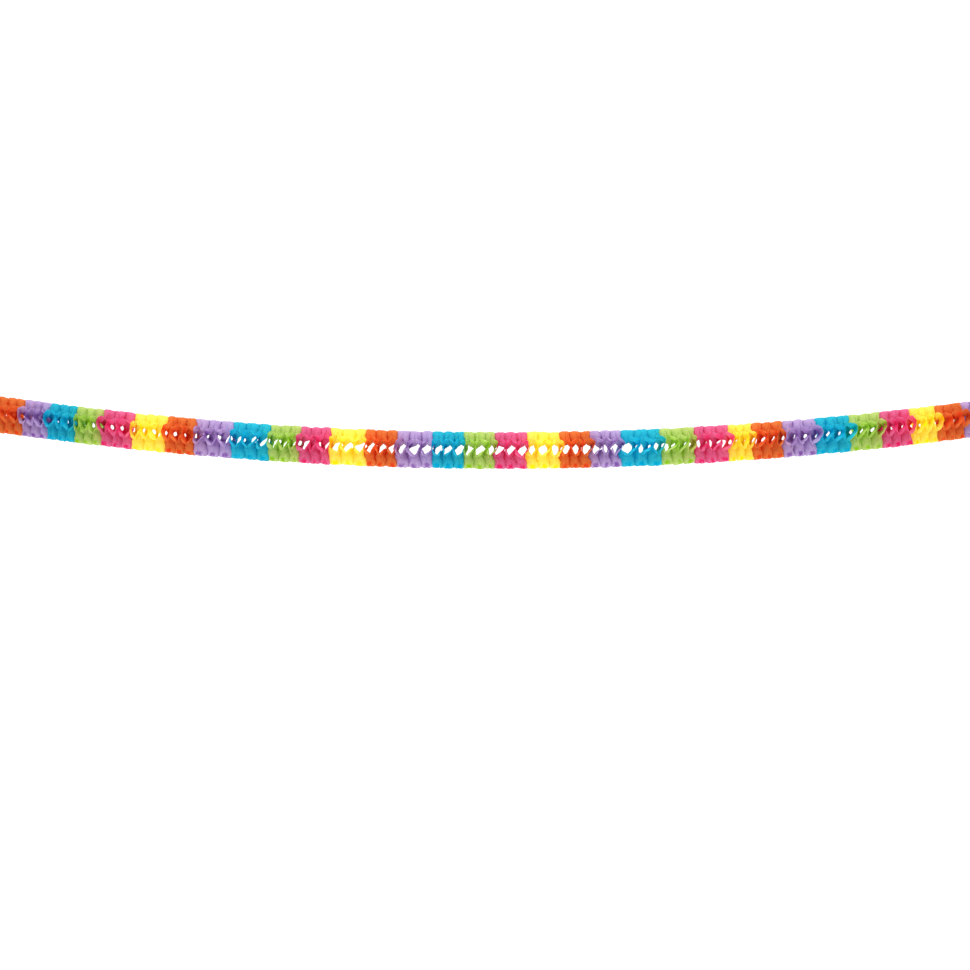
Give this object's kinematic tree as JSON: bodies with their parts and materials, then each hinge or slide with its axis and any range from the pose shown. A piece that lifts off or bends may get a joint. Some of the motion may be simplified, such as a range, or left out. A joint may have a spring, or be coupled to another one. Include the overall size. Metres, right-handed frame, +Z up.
{
  "type": "tissue paper garland",
  "caption": "Pull-out garland of die-cut, pleated tissue sheets in a repeating rainbow of colour runs, hung in a shallow arc, with a stiff punched card at each end.",
  "frame": {"origin": "centre of the left end card's hanging hole, at the card's inner face", "axes": "+X along the garland towards its right end, +Y away from the viewer, +Z up"},
  "size_m": [4.1426, 0.15, 0.3034],
  "materials": {
    "orange_tissue": "matte",
    "purple_tissue": "matte",
    "blue_tissue": "matte",
    "green_tissue": "matte",
    "pink_tissue": "matte",
    "yellow_tissue": "matte",
    "card": "matte"
  },
  "bodies": {
    "root": {"blue_leaves_03": "blue_tissue", "blue_leaves_09": "blue_tissue", "blue_leaves_15": "blue_tissue", "blue_leaves_21": "blue_tissue", "blue_leaves_27": "blue_tissue", "green_leaves_04": "green_tissue", "green_leaves_10": "green_tissue", "green_leaves_16": "green_tissue", "green_leaves_22": "green_tissue", "green_leaves_28": "green_tissue", "left_end_card": "card", "orange_leaves_01": "orange_tissue", "orange_leaves_07": "orange_tissue", "orange_leaves_13": "orange_tissue", "orange_leaves_19": "orange_tissue", "orange_leaves_25": "orange_tissue", "orange_leaves_31": "orange_tissue", "pink_leaves_05": "pink_tissue", "pink_leaves_11": "pink_tissue", "pink_leaves_17": "pink_tissue", "pink_leaves_23": "pink_tissue", "pink_leaves_29": "pink_tissue", "purple_leaves_02": "purple_tissue", "purple_leaves_08": "purple_tissue", "purple_leaves_14": "purple_tissue", "purple_leaves_20": "purple_tissue", "purple_leaves_26": "purple_tissue", "purple_leaves_32": "purple_tissue", "right_end_card": "card", "yellow_leaves_06": "yellow_tissue", "yellow_leaves_12": "yellow_tissue", "yellow_leaves_18": "yellow_tissue", "yellow_leaves_24": "yellow_tissue", "yellow_leaves_30": "yellow_tissue"}
  },
  "joints": []
}
